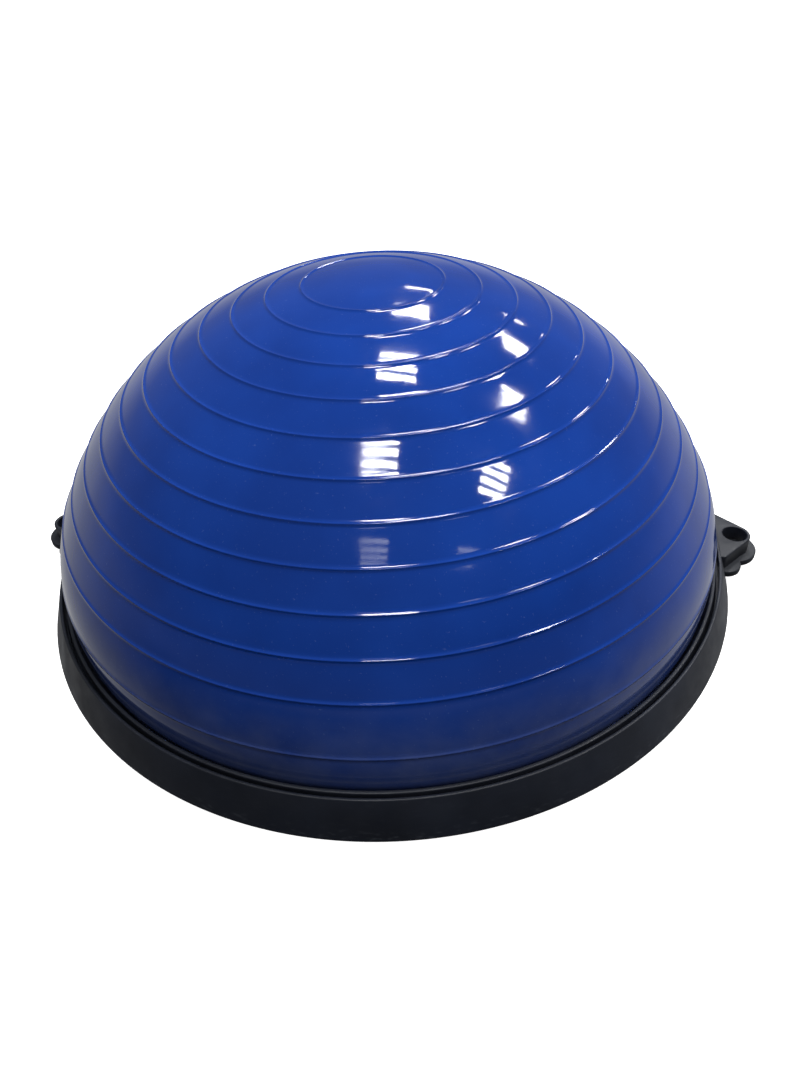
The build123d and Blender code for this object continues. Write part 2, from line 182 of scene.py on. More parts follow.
# %% Satin and spark-eroded polypropylene
def black_polypropylene(name, body_colour, faded_colour, sheens, grain_size, grain_depth):
    """Moulded polypropylene: mould texture, uneven sheen, and scuffs near the floor."""
    material, tree, shader = finish_named(name, IOR=1.49)
    place = put(tree, "ShaderNodeTexCoord", out="Object")
    clouds = put(
        tree, "ShaderNodeTexNoise", {"Vector": place, "Scale": patches(60), "Detail": 3.0}
    )
    faded = put(tree, "ShaderNodeMapRange", {0: clouds, 1: 0.35, 2: 0.65})
    base = put(
        tree,
        "ShaderNodeMix",
        {0: faded, 6: shade(body_colour), 7: shade(faded_colour)},
        out=2,
        data_type="RGBA",
    )
    upright = put(tree, "ShaderNodeMapping", {"Vector": place, "Scale": (1.0, 1.0, 3.5)})
    rubs = put(
        tree, "ShaderNodeTexNoise", {"Vector": upright, "Scale": patches(7), "Detail": 6.0}
    )
    marks = put(tree, "ShaderNodeMapRange", {0: rubs, 1: 0.56, 2: 0.74, 3: 0.0, 4: 0.6})
    height = put(tree, "ShaderNodeSeparateXYZ", {0: place}, out="Z")
    low_down = put(
        tree, "ShaderNodeMapRange", {0: height, 1: mm(2), 2: mm(12), 3: 0.7, 4: 0.05}
    )
    scuffs = put(tree, "ShaderNodeMath", {0: marks, 1: low_down}, operation="MULTIPLY")
    worn = put(
        tree, "ShaderNodeMix", {0: scuffs, 6: base, 7: shade("#696e77")}, out=2, data_type="RGBA"
    )
    tree.links.new(worn, shader.inputs["Base Color"])
    handled = put(
        tree, "ShaderNodeTexNoise", {"Vector": place, "Scale": patches(18), "Detail": 5.0}
    )
    sheen = put(
        tree, "ShaderNodeMapRange", {0: handled, 1: 0.3, 2: 0.7, 3: sheens[0], 4: sheens[1]}
    )
    tree.links.new(sheen, shader.inputs["Roughness"])
    flow = put(
        tree, "ShaderNodeTexNoise", {"Vector": place, "Scale": patches(45), "Detail": 1.0}
    )
    sinks = put(tree, "ShaderNodeBump", {"Height": flow, "Distance": mm(0.1), "Strength": 1.0})
    grain = put(
        tree, "ShaderNodeTexNoise", {"Vector": place, "Scale": patches(grain_size), "Detail": 3.0}
    )
    texture = put(
        tree,
        "ShaderNodeBump",
        {"Height": grain, "Distance": mm(grain_depth), "Strength": 1.0, "Normal": sinks},
    )
    tree.links.new(texture, shader.inputs["Normal"])
    print("finish", name, len(tree.nodes), "nodes")
    return material


ring_plastic = black_polypropylene(
    "polypropylene_satin", "#171b25", "#212632", (0.44, 0.58), 0.9, 0.02
)
tray_plastic = black_polypropylene(
    "polypropylene_spark_eroded", "#1b1f27", "#262b35", (0.50, 0.66), 1.1, 0.05
)

# %% [markdown]
# ## Rubber, steel and the valve's plastic
# The feet and seals are matt rubber with a bloom of dust. The screws are zinc-plated steel,
# bright and faintly yellow where the passivation is thick. The valve is unfilled
# polyethylene, milky and waxy, so a little light scatters inside it.

# %% Matt rubber
rubber, tree, shader = finish_named("moulded_rubber_matt", IOR=1.52)
place = put(tree, "ShaderNodeTexCoord", out="Object")
bloom = put(tree, "ShaderNodeTexNoise", {"Vector": place, "Scale": patches(7), "Detail": 5.0})
pale_share = put(tree, "ShaderNodeMapRange", {0: bloom, 1: 0.45, 2: 0.75, 3: 0.0, 4: 0.5})
colour = put(
    tree,
    "ShaderNodeMix",
    {0: pale_share, 6: shade("#17181a"), 7: shade("#3a3a3b")},
    out=2,
    data_type="RGBA",
)
tree.links.new(colour, shader.inputs["Base Color"])
dulled = put(tree, "ShaderNodeMapRange", {0: bloom, 1: 0.3, 2: 0.7, 3: 0.66, 4: 0.88})
tree.links.new(dulled, shader.inputs["Roughness"])
grain = put(tree, "ShaderNodeTexNoise", {"Vector": place, "Scale": patches(0.8), "Detail": 3.0})
texture = put(tree, "ShaderNodeBump", {"Height": grain, "Distance": mm(0.05), "Strength": 1.0})
tree.links.new(texture, shader.inputs["Normal"])

# %% Zinc-plated steel
zinc, tree, shader = finish_named("zinc_plated_steel", Metallic=1.0)
place = put(tree, "ShaderNodeTexCoord", out="Object")
film = put(tree, "ShaderNodeTexNoise", {"Vector": place, "Scale": patches(4), "Detail": 3.0})
yellowed = put(tree, "ShaderNodeMapRange", {0: film, 1: 0.35, 2: 0.65})
colour = put(
    tree,
    "ShaderNodeMix",
    {0: yellowed, 6: shade("#b9bcc0"), 7: shade("#c9c3ae")},
    out=2,
    data_type="RGBA",
)
tree.links.new(colour, shader.inputs["Base Color"])
rubbed = put(tree, "ShaderNodeTexNoise", {"Vector": place, "Scale": patches(1.2), "Detail": 4.0})
brightness = put(tree, "ShaderNodeMapRange", {0: rubbed, 1: 0.3, 2: 0.7, 3: 0.24, 4: 0.46})
tree.links.new(brightness, shader.inputs["Roughness"])
grain = put(tree, "ShaderNodeTexNoise", {"Vector": place, "Scale": patches(0.5), "Detail": 2.0})
texture = put(tree, "ShaderNodeBump", {"Height": grain, "Distance": mm(0.015), "Strength": 1.0})
tree.links.new(texture, shader.inputs["Normal"])

# %% Milky polyethylene
milky, tree, shader = finish_named(
    "polyethylene_milky", IOR=1.51, Subsurface_Weight=0.25, Subsurface_Scale=mm(2)
)
place = put(tree, "ShaderNodeTexCoord", out="Object")
film = put(tree, "ShaderNodeTexNoise", {"Vector": place, "Scale": patches(6), "Detail": 3.0})
greyed = put(tree, "ShaderNodeMapRange", {0: film, 1: 0.35, 2: 0.65})
colour = put(
    tree,
    "ShaderNodeMix",
    {0: greyed, 6: shade("#dcdcd6"), 7: shade("#c6c7c3")},
    out=2,
    data_type="RGBA",
)
tree.links.new(colour, shader.inputs["Base Color"])
waxy = put(tree, "ShaderNodeMapRange", {0: film, 1: 0.3, 2: 0.7, 3: 0.32, 4: 0.5})
tree.links.new(waxy, shader.inputs["Roughness"])
grain = put(tree, "ShaderNodeTexNoise", {"Vector": place, "Scale": patches(1.0), "Detail": 2.0})
texture = put(tree, "ShaderNodeBump", {"Height": grain, "Distance": mm(0.02), "Strength": 1.0})
tree.links.new(texture, shader.inputs["Normal"])
print("finishes", [m.name for m in (rubber, zinc, milky)])

# %% [markdown]
# ## Sizes
# The frame gives the outside of every part. The widths of lips, the pitch of the ribs and
# the like aren't in its boxes, so they are written here once, in millimetres.

# %% Sizes of the rings, the tray and the dome
base_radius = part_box("rim_ring")[1].y * 1000
base_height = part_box("rim_ring")[1].z * 1000
band_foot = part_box("rim_ring")[0].z * 1000
dome_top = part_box("dome_shell")[1].z * 1000
bead_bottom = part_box("dome_shell")[0].z * 1000
clamp_outer = 279.3
clamp_lip = 3.0
rim_lip = 2.7
band_lean = 10.8
band_wall = 2.6
ring_gap = 2.0
dome_foot_radius = clamp_outer - clamp_lip - ring_gap
dome_rise = dome_top - base_height
wall_tuck = 11.7  # the whole sphere would meet the rings' top this far outside the wall
dome_radius = ((dome_foot_radius + wall_tuck) ** 2 + dome_rise**2) / (2 * dome_rise)
dome_centre = dome_top - dome_radius
dome_wall = 3.0
shoulder_rise = 63.5
neck_radius = 18.0
tray_thickness = 4.0
floor_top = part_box("clamp_ring")[0].z * 1000
floor_underside = floor_top - tray_thickness
rib_underside = 3.5
bead_height = 5.0
bead_reach = 0.8
bead_width = 15.5
bead_top = bead_bottom + bead_height
bead_outer = dome_foot_radius + bead_reach
bead_inner = bead_outer - bead_width
fit_gap = 0.3  # between the rings, the bead and the tray, on each side
around = 288  # steps round a large ring, enough that no facet shows


def band_radius(height):
    """Outer radius of the leaning band at a height."""
    return base_radius - band_lean * (height - band_foot) / (base_height - band_foot)


tray_radius = band_radius(floor_top) - band_wall - fit_gap
clamp_leg_inner = bead_outer + fit_gap
split_shift = 0.8  # the rings' feet meet this far inside the middle
leg_split = (clamp_leg_inner + band_radius(floor_top) - band_wall) / 2 - split_shift
clamp_screw_circle = (clamp_leg_inner + leg_split - fit_gap) / 2
rim_screw_circle = (leg_split + fit_gap + tray_radius) / 2
eye_distance = 302.0
eye_hole_radius = 10.0
plate_bottom = 8.0
plate_top = 14.0
lug_top = 28.0
print("base", round(base_radius, 1), "dome radius", round(dome_radius, 1))

# %% [markdown]
# ## Turned shapes
# Most of the trainer is round: an outline spun about the Z axis. Blender has a Screw
# modifier and a spin operator for that. A short function is clearer here, because it closes
# poles and seams itself and writes the place straight into the mesh. `eased` rounds the
# corners of an outline, since no moulding has a truly sharp edge.

# %% Outlines with rounded corners
def eased(corners, steps=4):
    """An outline from (radius, height, rounding) corners; each rounding becomes a curve."""
    outline = []
    for index, (radius, height, rounding) in enumerate(corners):
        here = Vector((radius, height))
        if not rounding:
            outline.append(here)
            continue
        before = Vector(corners[index - 1][:2]) - here
        after = Vector(corners[(index + 1) % len(corners)][:2]) - here
        reach = rounding / tan(before.angle(after) / 2)
        start = here + before.normalized() * reach
        end = here + after.normalized() * reach
        for step in range(steps + 1):
            share = step / steps
            outline.append(start.lerp(here, share).lerp(here.lerp(end, share), share))
    return outline


# %% Spin, close and show
def spin(shape, outline, steps=around, closed=True):
    """Add an outline of (radius, height), spun about the Z axis, to a bmesh."""
    rings = []
    for radius, height in outline:
        count = steps if radius else 1
        turns = [2 * pi * step / steps for step in range(count)]
        rings.append(
            [shape.verts.new((mm(radius * cos(t)), mm(radius * sin(t)), mm(height))) for t in turns]
        )
    pairs = list(zip(rings, rings[1:]))
    if closed:
        pairs.append((rings[-1], rings[0]))
    for upper, lower in pairs:
        if len(upper) == len(lower) == 1:
            continue
        for step in range(steps):
            after = (step + 1) % steps
            loop = [upper[step % len(upper)], upper[after % len(upper)]]
            loop += [lower[after % len(lower)], lower[step % len(lower)]]
            shape.faces.new(dict.fromkeys(loop))


def show(name, mesh, finish):
    """Put a mesh in the scene with its finish."""
    piece = bpy.data.objects.new(name, mesh)
    bpy.context.collection.objects.link(piece)
    piece.data.materials.clear()
    piece.data.materials.append(finish)
    return piece


def close_up(name, shape, finish, crisp=40):
    """A bmesh as a piece: doubles merged, faces outwards, edges over crisp degrees sharp."""
    bmesh.ops.remove_doubles(shape, verts=shape.verts, dist=mm(0.002))
    bmesh.ops.recalc_face_normals(shape, faces=shape.faces)
    mesh = bpy.data.meshes.new(name)
    shape.to_mesh(mesh)
    shape.free()
    mesh.shade_smooth()
    mesh.set_sharp_from_angle(angle=radians(crisp))
    return show(name, mesh, finish)


def turned(name, outline, finish, steps=around):
    """A piece that is one closed outline spun about the Z axis."""
    shape = bmesh.new()
    spin(shape, outline, steps)
    return close_up(name, shape, finish)


def settle(piece, body, slot, *nodes):
    """A piece rides on a body and stands for CAD nodes; slot is not used."""
    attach(piece, body)
    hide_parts(*nodes)
    print(piece.name, len(piece.data.polygons), "faces for", ", ".join(nodes))


def joined(name, *pieces):
    """Several pieces of one moulding as one object, named after the whole."""
    shape = bmesh.new()
    for piece in pieces:
        shape.from_mesh(piece.data)
    mesh = bpy.data.meshes.new(name)
    shape.to_mesh(mesh)
    shape.free()
    finish = pieces[0].data.materials[0]
    for piece in pieces:
        bpy.data.objects.remove(piece)
    return show(name, mesh, finish)


# %% [markdown]
# ## Geometry Nodes workshop
# `rule` opens an empty tree with named inputs. `grow` runs a tree once with given sizes and
# keeps the result as a plain mesh, because an exported model can't carry a live tree. A
# modifier's inputs are set by their identifiers before it is first evaluated.

# %% Open, close and run a tree
def rule(name, **inputs):
    """A Geometry Nodes tree with named inputs, each given as its socket type."""
    tree = bpy.data.node_groups.new(name, "GeometryNodeTree")
    tree.interface.new_socket("Geometry", in_out="OUTPUT", socket_type="NodeSocketGeometry")
    for label, kind in inputs.items():
        tree.interface.new_socket(label, in_out="INPUT", socket_type="NodeSocket" + kind)
    start = tree.nodes.new("NodeGroupInput")
    return tree, {label: start.outputs[label] for label in inputs}


def finish_rule(tree, shape, finish):
    """Close a tree: real geometry, its material, and the output."""
    real = put(tree, "GeometryNodeRealizeInstances", {0: shape})
    painted = put(tree, "GeometryNodeSetMaterial", {0: real, "Material": finish})
    put(tree, "NodeGroupOutput", {0: painted})


def grow(name, tree, finish, **values):
    """Run a tree on an empty mesh, keep the result as a plain mesh and drop the modifier."""
    host = show(name, bpy.data.meshes.new(name), finish)
    modifier = host.modifiers.new("rule", "NODES")
    modifier.node_group = tree
    for item in tree.interface.items_tree:
        if item.in_out == "INPUT":
            modifier[item.identifier] = values[item.name]
    bpy.context.view_layer.update()
    ready = host.evaluated_get(bpy.context.evaluated_depsgraph_get())
    mesh = bpy.data.meshes.new_from_object(ready)
    bpy.data.objects.remove(host)
    return show(name, mesh, finish)


# %% [markdown]
# ## The dome
# The real dome is one moulding whose outside follows a rule: a sphere, then a straighter
# wall into the ring, with raised ribs at an even pitch and the skin a hair flatter between
# them. Modelling it by hand would take a loop for every rib; a tree says the rule once. It
# lays a grid of points, wraps one way of it round the axis and the other way down an
# outline curve, and lifts each point by its nearest rib. First comes the outline.

# %% Outline of the dome's skin
def arc(centre, radius, start, end, step=0.15):
    """Points on an arc about (radius, height), angles in degrees clockwise from the top."""
    count = max(2, round(abs(end - start) / step))
    turns = [radians(start + (end - start) * i / count) for i in range(count + 1)]
    return [Vector((centre[0] + radius * sin(t), centre[1] + radius * cos(t))) for t in turns]


def skin(depth=0.0, step=0.15):
    """From the top to the bead, a depth below the outside: sphere, wall, then neck."""
    radius = dome_radius - depth
    lean = acos((base_height + shoulder_rise - dome_centre) / dome_radius)
    shoulder = Vector((radius * sin(lean), dome_centre + radius * cos(lean)))
    chord = Vector((dome_foot_radius - depth, base_height)) - shoulder
    inward = Vector((-sin(lean), -cos(lean)))
    bend = chord.length_squared / (2 * chord.dot(inward))
    middle = shoulder + inward * bend
    foot = chord - inward * bend
    wall_end = 90 - degrees(asin(foot.y / bend))
    fall = (base_height - bead_top) / (neck_radius - depth)
    sphere = arc((0, dome_centre), radius, 0, degrees(lean), step)
    wall = arc(middle, bend, degrees(lean), wall_end, step * 4)
    neck = arc((dome_foot_radius - neck_radius, base_height), neck_radius - depth,
               90, 90 + degrees(asin(fall)), step * 12)
    return sphere + wall[1:] + neck[1:], dome_radius * lean, bend * (radians(wall_end) - lean)


outline, shoulder_arc, wall_arc = skin()
curve = bpy.data.curves.new("outline", "CURVE")
curve.dimensions = "3D"
line = curve.splines.new("POLY")
line.points.add(len(outline) - 1)
for point, (radius, height) in zip(line.points, outline):
    point.co = (mm(radius), 0, mm(height), 1)
outline_guide = bpy.data.objects.new("outline", curve)
bpy.context.collection.objects.link(outline_guide)
skin_length = sum((b - a).length for a, b in zip(outline, outline[1:]))
print("skin from top to bead", round(skin_length, 1), "mm in", len(outline), "points")

# %% [markdown]
# The tree counts ribs down the outline: 0 at the first rib, 10 at the last even one, 11 at
# the foot rib. A sine wave makes its rows crowd together at whole counts, so few rows draw
# crisp ribs. A second small tree turns a count to a length along the skin, and is used for
# the point itself and for the middle of its nearest rib.

# %% From a rib's count to a length along the skin
even_count = 10.0  # the count at the last even rib
foot_count = even_count + 1
crowding = 0.88  # 0 spaces the rows evenly, 1 would stack them on the ribs
rib_place = bpy.data.node_groups.new("rib place", "GeometryNodeTree")
for label in ("Count", "First Rib", "Pitch", "Foot Gap"):
    rib_place.interface.new_socket(label, in_out="INPUT", socket_type="NodeSocketFloat")
rib_place.interface.new_socket("Length", in_out="OUTPUT", socket_type="NodeSocketFloat")
known = {}
start = rib_place.nodes.new("NodeGroupInput")
for socket in start.outputs[:4]:
    known[socket.name] = socket
sums = {
    "even": ("MINIMUM", "Count", even_count),
    "extra": ("SUBTRACT", "Count", "even"),
    "to rib": ("MULTIPLY_ADD", "even", "Pitch", "First Rib"),
    "Length": ("MULTIPLY_ADD", "extra", "Foot Gap", "to rib"),
}
for name, (operation, *terms) in sums.items():
    wires = {i: known.get(term, term) for i, term in enumerate(terms)}
    known[name] = put(rib_place, "ShaderNodeMath", wires, operation=operation)
put(rib_place, "NodeGroupOutput", {0: known["Length"]})
print("rib place", len(rib_place.nodes), "nodes")

# %% The dome's tree
dome_rule, given = rule(
    "ribbed dome", **{
        "Around": "Int", "Rows": "Int", "Outline": "Object", "From Count": "Float",
        "To Count": "Float", "First Rib": "Float", "Pitch": "Float", "Foot Gap": "Float",
        "Rib Height": "Float", "Rib Width": "Float", "Sag": "Float",
    }
)
known = dict(given)
columns = put(dome_rule, "ShaderNodeMath", {0: given["Around"], 1: 1.0}, operation="ADD")
grid = put(
    dome_rule, "GeometryNodeMeshGrid", {0: 1.0, 1: 1.0, 2: columns, 3: given["Rows"]}
)
spot = put(dome_rule, "GeometryNodeInputPosition")
across = put(dome_rule, "ShaderNodeSeparateXYZ", {0: spot}, out="X")
down = put(dome_rule, "ShaderNodeSeparateXYZ", {0: spot}, out="Y")
turn = put(dome_rule, "ShaderNodeMapRange", {0: across, 1: -0.5, 2: 0.5, 3: 0.0, 4: 2 * pi})
known["even rows"] = put(
    dome_rule,
    "ShaderNodeMapRange",
    {0: down, 1: -0.5, 2: 0.5, 3: given["From Count"], 4: given["To Count"]},
)
sums = {
    "phase": ("MULTIPLY", "even rows", 2 * pi),
    "wave": ("SINE", "phase"),
    "count": ("MULTIPLY_ADD", "wave", -crowding / (2 * pi), "even rows"),
    "whole": ("ROUND", "count"),
    "not above": ("MAXIMUM", "whole", 0.0),
    "nearest": ("MINIMUM", "not above", foot_count),
}
for name, (operation, *terms) in sums.items():
    wires = {i: known.get(term, term) for i, term in enumerate(terms)}
    known[name] = put(dome_rule, "ShaderNodeMath", wires, operation=operation)
for name, count in (("length", "count"), ("rib", "nearest")):
    wires = {label: given[label] for label in ("First Rib", "Pitch", "Foot Gap")}
    wires["Count"] = known[count]
    group = dome_rule.nodes.new("GeometryNodeGroup")
    group.node_tree = rib_place
    for label, socket in wires.items():
        dome_rule.links.new(socket, group.inputs[label])
    known[name] = group.outputs[0]
print("dome tree so far", len(dome_rule.nodes), "nodes")

# %% [markdown]
# A rib's section is a smooth hump, the bell curve exp(-(d/w)^2), which is what a rounded
# groove cut in the mould leaves. The sag between ribs is a squared sine of the count, zero
# on every rib, and it is switched off above the first rib, where the cap is plain.

# %% Ribs, sag and the place of every point
foot_fading = 0.25  # the foot rib stands this share lower than the others
sums = {
    "from rib": ("SUBTRACT", "length", "rib"),
    "in widths": ("DIVIDE", "from rib", "Rib Width"),
    "squared": ("MULTIPLY", "in widths", "in widths"),
    "fading": ("MULTIPLY", "squared", -1.0),
    "bell": ("EXPONENT", "fading"),
    "foot rib": ("GREATER_THAN", "nearest", even_count + 0.5),
    "strength": ("MULTIPLY_ADD", "foot rib", -foot_fading, 1.0),
    "tall": ("MULTIPLY", "strength", "Rib Height"),
    "hump": ("MULTIPLY", "bell", "tall"),
    "half phase": ("MULTIPLY", "count", pi),
    "swing": ("SINE", "half phase"),
    "swell": ("MULTIPLY", "swing", "swing"),
    "below first": ("GREATER_THAN", "count", 0.0),
    "above foot": ("LESS_THAN", "count", foot_count),
    "between": ("MULTIPLY", "below first", "above foot"),
    "where": ("MULTIPLY", "swell", "between"),
    "drop": ("MULTIPLY", "where", "Sag"),
    "lift": ("SUBTRACT", "hump", "drop"),
}
for name, (operation, *terms) in sums.items():
    wires = {i: known.get(term, term) for i, term in enumerate(terms)}
    known[name] = put(dome_rule, "ShaderNodeMath", wires, operation=operation)
guide = put(dome_rule, "GeometryNodeObjectInfo", {0: given["Outline"]}, out="Geometry")
sample = dome_rule.nodes.new("GeometryNodeSampleCurve")
sample.mode = "LENGTH"
sample.use_all_curves = False
dome_rule.links.new(guide, sample.inputs[0])
dome_rule.links.new(known["length"], sample.inputs["Length"])
tangent_x = put(dome_rule, "ShaderNodeSeparateXYZ", {0: sample.outputs["Tangent"]}, out="X")
tangent_z = put(dome_rule, "ShaderNodeSeparateXYZ", {0: sample.outputs["Tangent"]}, out="Z")
outward_x = put(dome_rule, "ShaderNodeMath", {0: tangent_z, 1: -1.0}, operation="MULTIPLY")
outward = put(dome_rule, "ShaderNodeCombineXYZ", {"X": outward_x, "Z": tangent_x})
raised = put(
    dome_rule, "ShaderNodeVectorMath", {0: outward, "Scale": known["lift"]}, operation="SCALE"
)
section = put(
    dome_rule, "ShaderNodeVectorMath", {0: sample.outputs["Position"], 1: raised}, operation="ADD"
)
wrapped = put(
    dome_rule,
    "ShaderNodeVectorRotate",
    {"Vector": section, "Angle": turn},
    rotation_type="Z_AXIS",
)
shaped = put(dome_rule, "GeometryNodeSetPosition", {0: grid, "Position": wrapped})
sealed = put(dome_rule, "GeometryNodeMergeByDistance", {0: shaped, "Distance": mm(0.002)})
soft = put(dome_rule, "GeometryNodeSetShadeSmooth", {0: sealed})
finish_rule(dome_rule, soft, dome_pvc)
print("dome tree", len(dome_rule.nodes), "nodes")

# %% Grow the skin, then add the bead and the lining
first_rib = 52.3
last_gap = 2.2
foot_rib_rise = 27.5
rib_pitch = (shoulder_arc - last_gap - first_rib) / even_count
to_last_rib = first_rib + even_count * rib_pitch
to_foot_rib = shoulder_arc + wall_arc * (1 - foot_rib_rise / shoulder_rise)
foot_gap = to_foot_rib - to_last_rib
outer_skin = grow(
    "outer skin",
    dome_rule,
    dome_pvc,
    **{
        "Around": around,
        "Rows": 200,
        "Outline": outline_guide,
        "From Count": -first_rib / rib_pitch,
        "To Count": foot_count + (skin_length - to_foot_rib) / foot_gap,
        "First Rib": mm(first_rib),
        "Pitch": mm(rib_pitch),
        "Foot Gap": mm(foot_gap),
        "Rib Height": mm(0.8),
        "Rib Width": mm(0.8),
        "Sag": mm(0.04),
    },
)
bpy.data.objects.remove(outline_guide)
lining = skin(dome_wall, 3.0)[0]
bead = eased(
    [
        (outline[-1].x, bead_top, 0),
        (bead_outer, bead_top, 1.0),
        (bead_outer, bead_bottom, 1.0),
        (bead_inner, bead_bottom, 1.0),
        (bead_inner, bead_top, 1.0),
        (lining[-1].x, bead_top, 0),
    ]
)[:-1] + list(reversed(lining))
shape = bmesh.new()
shape.from_mesh(outer_skin.data)
spin(shape, bead, closed=False)
bpy.data.objects.remove(outer_skin)
dome = close_up("dome", shape, dome_pvc, crisp=50)
settle(dome, "platform", "dome_pvc", "dome_shell")
print("rib pitch", round(rib_pitch, 2), "loose edges",
      sum(1 for e in dome.data.edges if e.is_loose))

# %% [markdown]
# ## The two rings
# The clamp ring presses the dome's bead on the platform, and its thin lip shows beside the
# dome. The outer band hides it, leans inwards and carries the strap eyes. Both are turned
# shapes with small rounded edges, which catch the thin bright lines that a moulding shows.

# %% Clamp ring
hollow_radius = neck_radius + ring_gap
neck_line = arc((dome_foot_radius - neck_radius, base_height), hollow_radius, 90, 140, 2.0)
neck_line = [p for p in neck_line if p.y > bead_top]
web_reach = sqrt(hollow_radius**2 - (base_height - bead_top) ** 2)
clamp_outline = eased(
    [
        (clamp_outer - clamp_lip, base_height, 1.1),
        (clamp_outer, base_height, 1.1),
        (clamp_outer, bead_top + 4.0, 0.4),
        (leg_split - fit_gap, bead_top + 1.0, 0.4),
        (leg_split - fit_gap, floor_top, 0),
        (clamp_leg_inner, floor_top, 0),
        (clamp_leg_inner, bead_top, 0),
        (dome_foot_radius - neck_radius + web_reach, bead_top, 0),
        (clamp_outer - clamp_lip, base_height - 4.0, 0),
    ]
)[:-1] + list(reversed(neck_line[2:]))
clamp_band = turned("clamp_band", clamp_outline, ring_plastic)
settle(clamp_band, "platform", "ring_plastic", "clamp_ring")

# %% [markdown]
# The strap eyes are flat shapes with rounded rims: a lug on the band above, a wider plate
# of the platform below, one 20 mm hole through both. A filled 2D curve with a bevel makes
# exactly that. Each outline is the far edge of a few circles seen from the axis: smooth
# hulls come from sliding one circle to the next, and a scalloped edge from leaving gaps.

# %% Flat plates from 2D curves
def far_edge(circles, inner_radius, half_turn, steps=150):
    """Closed outline between an inner radius and the far edge of circles (x, y, radius)."""
    points = []
    for step in range(steps + 1):
        turn = radians(half_turn) * (2 * step / steps - 1)
        ray = Vector((cos(turn), sin(turn)))
        reach = inner_radius
        for x, y, radius in circles:
            along = Vector((x, y)).dot(ray)
            inside = radius**2 - (x * x + y * y - along**2)
            if inside >= 0:
                reach = max(reach, along + sqrt(inside))
        points.append(ray * reach)
    ends = [radians(half_turn) * side for side in (1, 0.5, 0, -0.5, -1)]
    return points + [Vector((inner_radius * cos(t), inner_radius * sin(t))) for t in ends]


def slide(first, last, steps=60):
    """Circles from one to another, so that their far edge is a straight tangent."""
    return [[a + (b - a) * i / steps for a, b in zip(first, last)] for i in range(steps + 1)]


def ring_of(x, y, radius, steps=48):
    """A closed circle of points, for a hole."""
    turns = [2 * pi * i / steps for i in range(steps)]
    return [Vector((x + radius * cos(t), y + radius * sin(t))) for t in turns]


def slab(name, finish, loops, low, high, bevel):
    """A flat plate between two heights: the first loop is its edge, the others are holes."""
    curve = bpy.data.curves.new(name, "CURVE")
    curve.dimensions = "2D"
    curve.fill_mode = "BOTH"
    for loop in loops:
        line = curve.splines.new("POLY")
        line.points.add(len(loop) - 1)
        for point, (x, y) in zip(line.points, loop):
            point.co = (mm(x), mm(y), 0, 1)
        line.use_cyclic_u = True
    curve.extrude = mm((high - low) / 2 - bevel)
    curve.bevel_depth = mm(bevel)
    curve.bevel_resolution = 2
    curve.offset = -mm(bevel)
    flat = bpy.data.objects.new(name, curve)
    mesh = bpy.data.meshes.new_from_object(flat)
    bpy.data.objects.remove(flat)
    mesh.transform(Matrix.Translation((0, 0, mm((high + low) / 2))))
    shape = bmesh.new()
    shape.from_mesh(mesh)
    return close_up(name, shape, finish)


def both_sides(piece):
    """The piece at +X and a copy of it at -X, as one."""
    other = show("other", piece.data.copy(), piece.data.materials[0])
    other.data.transform(Matrix.Rotation(pi, 4, "Z"))
    return joined(piece.name, piece, other)


def carve(piece, tool):
    """Cut a tool out of a piece for good, and remove the tool."""
    cut = piece.modifiers.new("cut", "BOOLEAN")
    cut.operation = "DIFFERENCE"
    cut.solver = "EXACT"
    cut.object = tool
    bpy.context.view_layer.update()
    ready = piece.evaluated_get(bpy.context.evaluated_depsgraph_get())
    mesh = bpy.data.meshes.new_from_object(ready)
    name, finish = piece.name, piece.data.materials[0]
    bpy.data.objects.remove(piece)
    bpy.data.objects.remove(tool)
    shape = bmesh.new()
    shape.from_mesh(mesh)
    return close_up(name, shape, finish)


# %% Outer band with its two lugs
foot_height = 8.0
edge_round = 1.2
lug_root_half = 28.0
band_outline = eased(
    [
        (base_radius, band_foot, 0.7),
        (base_radius - band_lean, base_height, 1.1),
        (base_radius - band_lean - rim_lip, base_height, 1.1),
        (band_radius(floor_top + foot_height) - band_wall, floor_top + foot_height, 0.4),
        (leg_split + fit_gap, floor_top + foot_height, 0.4),
        (leg_split + fit_gap, floor_top, 0),
        (band_radius(floor_top) - band_wall, floor_top, 0),
        (base_radius - band_wall, band_foot, 0.5),
    ]
)
band_ring = turned("band", band_outline, ring_plastic)
notch_edge = [Vector((x, y)) for x, y in ((281, -35.3), (300, -35.3), (300, 35.3), (281, 35.3))]
notch = both_sides(slab("notch", ring_plastic, [notch_edge], 0.0, plate_top, 0.05))
band_ring = carve(band_ring, notch)
nose = (eye_distance, 0.0, 13.0)
root = (base_radius - band_lean + 2.0, lug_root_half, 4.0)
other_root = (root[0], -lug_root_half, 4.0)
lug_edge = far_edge(slide(root, nose) + slide(nose, other_root), 284.3, 6.36)
eye_hole = ring_of(eye_distance, 0, eye_hole_radius)
lugs = slab("lugs", ring_plastic, [lug_edge, eye_hole], plate_top, lug_top, edge_round)
lugs = both_sides(lugs)
outer_band = joined("outer_band", band_ring, lugs)
settle(outer_band, "platform", "ring_plastic", "rim_ring")

# %% [markdown]
# ## The platform
# A tray 4 mm thick is too soft to stand on, so the moulding is ribbed underneath like a
# manhole cover: rings and spokes, with a socket for each foot. The floor and its rings are
# one turned outline. What repeats round the axis comes from one small tree, `set in a
# circle`, which places any item at even steps and turns it to face the axis.

